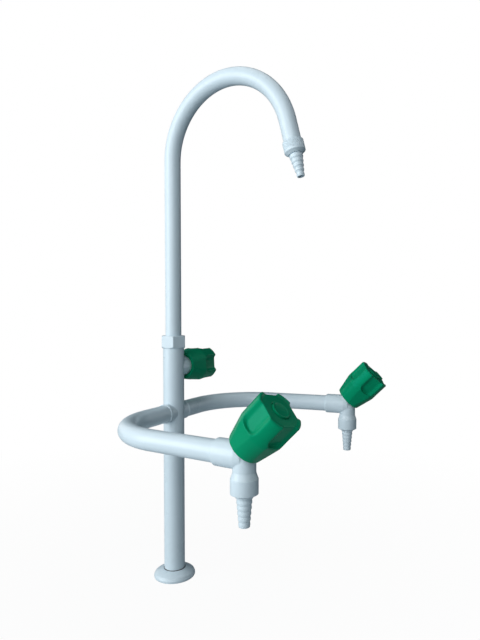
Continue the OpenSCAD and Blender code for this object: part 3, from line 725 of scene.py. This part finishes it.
knurl_heights = [
    KNURL_LOW + (KNURL_HIGH - KNURL_LOW) * row / KNURL_ROWS for row in range(KNURL_ROWS + 1)
]
collar_profile = [
    (COLLAR_BORE_R, COLLAR_STEP_Z), (COLLAR_BORE_R, COLLAR_TOP),
    (COLLAR_R - 0.6, COLLAR_TOP), (COLLAR_R - 0.2, COLLAR_TOP + 0.3),
    *[(COLLAR_R, height) for height in knurl_heights],
    (COLLAR_R - 0.3, KNURL_HIGH + 0.35), (COLLAR_R - 0.3, KNURL_HIGH + 0.7),
    (COLLAR_R - 0.1, KNURL_HIGH + 0.9), (COLLAR_R - 0.1, COLLAR_END - 2.7),
    (COLLAR_R - 0.5, COLLAR_END - 2.2), (8.5, COLLAR_END - 0.3), (8.2, COLLAR_END),
    (NUT_HOLE_R, COLLAR_END), (NUT_HOLE_R, COLLAR_FLOOR_Z),
    (NUT_BORE_R, COLLAR_FLOOR_Z), (NUT_BORE_R, COLLAR_STEP_Z),
]
collar = turned("spout_collar", collar_profile + [collar_profile[0]], sides=KNURL_SIDES)
print("collar faces:", len(collar.data.polygons))

# %% [markdown]
# Points are chosen by their place, in millimetres, and left selected in edit mode for the next operator. On
# the grid every second point is pulled in, like the squares of one colour on a chess board. The grid is
# then split along its shorter diagonals, which join the points that were pulled in, so that each point that
# stayed out becomes the tip of a small pyramid. Only edges as faint as those between the collar's sides are
# shaded smooth, so the pyramids stay crisp.

# %% Knurl the collar
KNURL_DEPTH = 0.36
KNURL_SMOOTH_ANGLE = math.radians(9)
ON_COLLAR = 0.02


def pick(piece, wanted):
    """Go into edit mode with only those points selected that pass a test, in millimetres."""
    only(piece)
    bpy.ops.object.mode_set(mode="EDIT")
    bpy.ops.mesh.select_mode(type="VERT")
    bpy.ops.mesh.select_all(action="DESELECT")
    bpy.ops.object.mode_set(mode="OBJECT")
    for point in piece.data.vertices:
        point.select = wanted(point.co / MM)
    bpy.ops.object.mode_set(mode="EDIT")


def is_hollow(point):
    """Whether a point of the collar is one that the knurl pulls in."""
    row = round((point.z - KNURL_LOW) / (KNURL_HIGH - KNURL_LOW) * KNURL_ROWS)
    column = round(math.atan2(point.y, point.x) / (2 * math.pi) * KNURL_SIDES)
    on_knurl = abs(math.hypot(point.x, point.y) - COLLAR_R) < ON_COLLAR and 0 <= row <= KNURL_ROWS
    return on_knurl and (row + column) % 2 == 0


pick(collar, is_hollow)
pull_in = (COLLAR_R - KNURL_DEPTH) / COLLAR_R
bpy.ops.transform.resize(value=(pull_in, pull_in, 1), center_override=(0, 0, 0))
bpy.ops.mesh.select_all(action="SELECT")
bpy.ops.mesh.quads_convert_to_tris(quad_method="SHORTEST_DIAGONAL")
bpy.ops.object.mode_set(mode="OBJECT")
bpy.ops.object.shade_smooth_by_angle(angle=KNURL_SMOOTH_ANGLE)
settle(collar, SPOUT)
hand_over(collar, "gooseneck", "white_coat", "spout_nut")

# %% [markdown]
# ## Knobs
# A knob is a hollow moulding: a cone that widens to a round grip, with four broad flutes for the fingers and
# a flat under each flute. Inside, a hub takes the spindle and its screw, and a thin web closes the skirt. The
# profile runs up the outside, over the dished top, down through the hub, and back along the inner wall.

# %% Turn one knob
SKIRT_Z = 5.9
SKIRT_R = 16.9
SKIRT_INNER_R = SKIRT_R - 1.7
CONE_TOP = SKIRT_Z + 23.5
KNOB_R = 22.05
KNOB_TOP = SKIRT_Z + 50
KNOB_CHAMFER = 1
DISH_Z = KNOB_TOP - 0.8
CAP_R = 8.5
CAP_SEAT_R = CAP_R + 0.05
CAP_SEAT_Z = DISH_Z - 2
SCREW_HOLE_R = 4.6
SCREW_SEAT_Z = 39.6
SPINDLE_HOLE_R = 3.1
HUB_R = 7.5
HUB_END = 24.8
ROOF_Z = KNOB_TOP - 5
SHELL_R = 15.9
WEB_R = 12.6
WEB_LOW = SKIRT_Z + 1.2
WEB_HIGH = SKIRT_Z + 3.2
KNOB_SIDES = 128

knob_profile = [
    (SKIRT_INNER_R, SKIRT_Z), (SKIRT_R, SKIRT_Z), (KNOB_R, CONE_TOP), (KNOB_R, KNOB_TOP - KNOB_CHAMFER),
    (KNOB_R - KNOB_CHAMFER, KNOB_TOP), (KNOB_R - 2.4, KNOB_TOP), (KNOB_R - 3.2, DISH_Z), (CAP_SEAT_R, DISH_Z),
    (CAP_SEAT_R, CAP_SEAT_Z), (SCREW_HOLE_R, CAP_SEAT_Z), (SCREW_HOLE_R, SCREW_SEAT_Z),
    (SPINDLE_HOLE_R, SCREW_SEAT_Z), (SPINDLE_HOLE_R, HUB_END), (HUB_R, HUB_END), (HUB_R, ROOF_Z),
    (SHELL_R, ROOF_Z), (SHELL_R, WEB_HIGH), (WEB_R, WEB_HIGH), (WEB_R, WEB_LOW), (SKIRT_INNER_R, WEB_LOW),
]
knob = turned("knob_pattern", knob_profile + [knob_profile[0]], sides=KNOB_SIDES)
print("turned knob faces:", len(knob.data.polygons))

# %% [markdown]
# The flats lie on the cone under the flutes. Each is a plane that leans with the cone, and a bisect cuts off
# what stands outside it and closes the cut.

# %% Bisect the flats
FLUTES = 4
FLUTE_START = CONE_TOP + 1.5
FLAT_LOW_R = SKIRT_R - 0.3
FLAT_HIGH_R = KNOB_R - 1.6
FLAT_LEAN = math.atan2(FLAT_HIGH_R - FLAT_LOW_R, FLUTE_START - SKIRT_Z)

only(knob)
bpy.ops.object.mode_set(mode="EDIT")
for quarter in range(FLUTES):
    around = 2 * math.pi * quarter / FLUTES
    facing = (math.cos(around) * math.cos(FLAT_LEAN), math.sin(around) * math.cos(FLAT_LEAN),
              -math.sin(FLAT_LEAN))
    foot_of_flat = (math.cos(around) * FLAT_LOW_R * MM, math.sin(around) * FLAT_LOW_R * MM, SKIRT_Z * MM)
    bpy.ops.mesh.select_all(action="SELECT")
    bpy.ops.mesh.bisect(plane_co=foot_of_flat, plane_no=facing, use_fill=True, clear_outer=True)
bpy.ops.object.mode_set(mode="OBJECT")
print("flats lean", round(math.degrees(FLAT_LEAN), 1), "degrees")

# %% [markdown]
# The cutter for a flute starts as a plate with rounded lower corners, as wide as the floor of the flute. It
# is extruded outwards and widened, so that the walls slope gently. A Boolean takes it out of the knob four
# times.

# %% Cut the flutes
FLUTE_FLOOR_R = 17.1
FLUTE_CORNER = 6
FLUTE_CORNER_STEPS = 6
CUTTER_LONG = 40
CUTTER_DEEP = 5
CUTTER_W = 29
CUTTER_FLOOR_W = 12.5

bpy.ops.object.select_all(action="DESELECT")
bpy.ops.mesh.primitive_plane_add(size=1, rotation=(0, math.pi / 2, 0))
cutter = bpy.context.object
cutter.name = "flute_cutter"
cutter.scale = (CUTTER_LONG * MM, CUTTER_FLOOR_W * MM, 1)
cutter.location = (FLUTE_FLOOR_R * MM, 0, (FLUTE_START + CUTTER_LONG / 2) * MM)
bpy.ops.object.transform_apply(location=True, rotation=True, scale=True)
pick(cutter, lambda point: point.z < FLUTE_START + CUTTER_LONG / 2)
bpy.ops.mesh.bevel(offset=FLUTE_CORNER * MM, segments=FLUTE_CORNER_STEPS, affect="VERTICES")
bpy.ops.mesh.select_all(action="SELECT")
bpy.ops.mesh.extrude_region_move(TRANSFORM_OT_translate={"value": (CUTTER_DEEP * MM, 0, 0)})
bpy.ops.transform.resize(value=(1, CUTTER_W / CUTTER_FLOOR_W, 1), center_override=(0, 0, 0))
bpy.ops.mesh.select_all(action="SELECT")
bpy.ops.mesh.normals_make_consistent(inside=False)
bpy.ops.object.mode_set(mode="OBJECT")
for quarter in range(FLUTES):
    cutter.rotation_euler = (0, 0, 2 * math.pi * quarter / FLUTES)
    bpy.context.view_layer.update()
    shaped_by(knob, "BOOLEAN", operation="DIFFERENCE", object=cutter, solver="EXACT")
bpy.data.objects.remove(cutter)
print("cut knob faces:", len(knob.data.polygons))

# %% [markdown]
# Moulded plastic has no sharp edge. Bevels could round the edges, but where the flutes meet the cone they
# would run into each other. So the whole knob is rebuilt as a fine even skin and smoothed, which rounds every
# edge by the same small amount. The grip with its flutes is then smoothed further, but not near the flutes'
# lower ends and the knob's top, which stay crisp.

# %% Round the knob
SMOOTH_SHARE = 0.5
KNOB_GRID = 0.5
KNOB_ROUNDS = 12
WALL_ROUNDS = 20
WALL_R = 16.2
WALL_LOW = FLUTE_START + 5
WALL_HIGH = KNOB_TOP - 2


def softened(piece, grid_mm, rounds):
    """Rebuild a piece as an even fine skin and smooth it, so that all its edges are rounded alike."""
    shaped_by(piece, "REMESH", mode="VOXEL", voxel_size=grid_mm * MM)
    shaped_by(piece, "SMOOTH", factor=SMOOTH_SHARE, iterations=rounds)
    only(piece)
    bpy.ops.object.shade_smooth()


softened(knob, KNOB_GRID, KNOB_ROUNDS)
pick(knob, lambda point: math.hypot(point.x, point.y) > WALL_R and WALL_LOW < point.z < WALL_HIGH)
bpy.ops.mesh.vertices_smooth(factor=SMOOTH_SHARE, repeat=WALL_ROUNDS)
bpy.ops.object.mode_set(mode="OBJECT")
print("knob faces:", len(knob.data.polygons))

# %% [markdown]
# The three knobs are the same moulding, so it is copied, each copy with a mesh of its own and left at its own
# turn. A round cap is pressed into the top of each, with a low rim round a flat middle.

# %% Set the knobs and their caps
KNOB_TURNS = {"left": 75, "right": 29, "centre": -3}
CAP_RIM_Z = DISH_Z + 1.6
CAP_FLAT_Z = DISH_Z + 1.35
CAP_MIDDLE_R = 0.6
CAP_PROFILE = [
    (CAP_MIDDLE_R, CAP_SEAT_Z), (CAP_R, CAP_SEAT_Z), (CAP_R, CAP_RIM_Z), (CAP_R - 1.4, CAP_RIM_Z),
    (CAP_R - 1.9, CAP_FLAT_Z), (CAP_MIDDLE_R, CAP_FLAT_Z),
]


def copy_of(piece, name):
    """A copy with a mesh of its own."""
    twin = piece.copy()
    twin.data = piece.data.copy()
    twin.name = name
    twin.data.name = name
    bpy.context.scene.collection.objects.link(twin)
    return twin


for side, place in HEADS.items():
    angle = Matrix.Rotation(math.radians(KNOB_TURNS[side]), 4, "Z")
    moulding = copy_of(knob, side + "_knob_moulding")
    settle(moulding, place @ angle)
    hand_over(moulding, side + "_control", "green_plastic", side + "_knob")
    cap = turned(side + "_cap_disc", CAP_PROFILE)
    eased(cap, radius_mm=0.4)
    settle(cap, place @ angle)
    hand_over(cap, side + "_control", "green_plastic", side + "_index_cap")
bpy.data.objects.remove(knob)

# %% [markdown]
# ## The coated castings
# The valve bodies, the arm stubs and the swivel nut are cast, brazed or screwed on and then coated, so that
# their corners run softly into each other. Each starts as a copy of its solid, merged because a solid is a
# heap of loose triangles. A bevel would catch on the thin ones where tubes meet, so the copy is rebuilt and
# smoothed like the knobs. The coat also closes the gap under the swivel nut, so its lower face is first moved
# down.

# %% Soften the castings
CASTING_GRID = 0.4
CASTING_ROUNDS = 5
SWIVEL_GAP = 0.5
ON_FACE = 0.05


def merged_copy(solid, name):
    """A copy of a solid with its loose triangles joined, free of its body."""
    twin = copy_of(frame["nodes"][solid], name)
    twin.parent = None
    only(twin)
    bpy.ops.object.mode_set(mode="EDIT")
    bpy.ops.mesh.select_all(action="SELECT")
    bpy.ops.mesh.remove_doubles(threshold=MERGE_REACH)
    bpy.ops.object.mode_set(mode="OBJECT")
    return twin


for solid in ("left_valve_body", "right_valve_body", "left_arm_stub", "right_arm_stub", "swivel_nut"):
    casting = merged_copy(solid, solid + "_coated")
    if solid == "swivel_nut":
        lowest = min(point.co.z for point in casting.data.vertices) / MM
        pick(casting, lambda point, floor_z=lowest: point.z < floor_z + ON_FACE)
        bpy.ops.transform.translate(value=(0, 0, -SWIVEL_GAP * MM))
        bpy.ops.object.mode_set(mode="OBJECT")
    softened(casting, CASTING_GRID, CASTING_ROUNDS)
    hand_over(casting, "stand", "white_coat", solid)

# %% [markdown]
# The boss on the column fills the web of its knob, so its round wall is scaled out about the knob's axis. The
# test on x leaves the inner end of the block alone.

# %% Fill the boss on the column
BOSS_R = 10.5
BOSS_COATED_R = 12
BOSS_Z = COLUMN_KNOB[2]
BOSS_FROM_X = 2
ON_WALL = 0.15

boss = merged_copy("column_valve_block", "column_boss_coated")
pick(boss, lambda point: (point.x > BOSS_FROM_X
                          and abs(math.hypot(point.y, point.z - BOSS_Z) - BOSS_R) < ON_WALL))
wider = BOSS_COATED_R / BOSS_R
bpy.ops.transform.resize(value=(1, wider, wider), center_override=(0, 0, BOSS_Z * MM))
bpy.ops.object.mode_set(mode="OBJECT")
bpy.ops.object.shade_smooth_by_angle(angle=SMOOTH_ANGLE)
hand_over(boss, "stand", "white_coat", "column_valve_block")
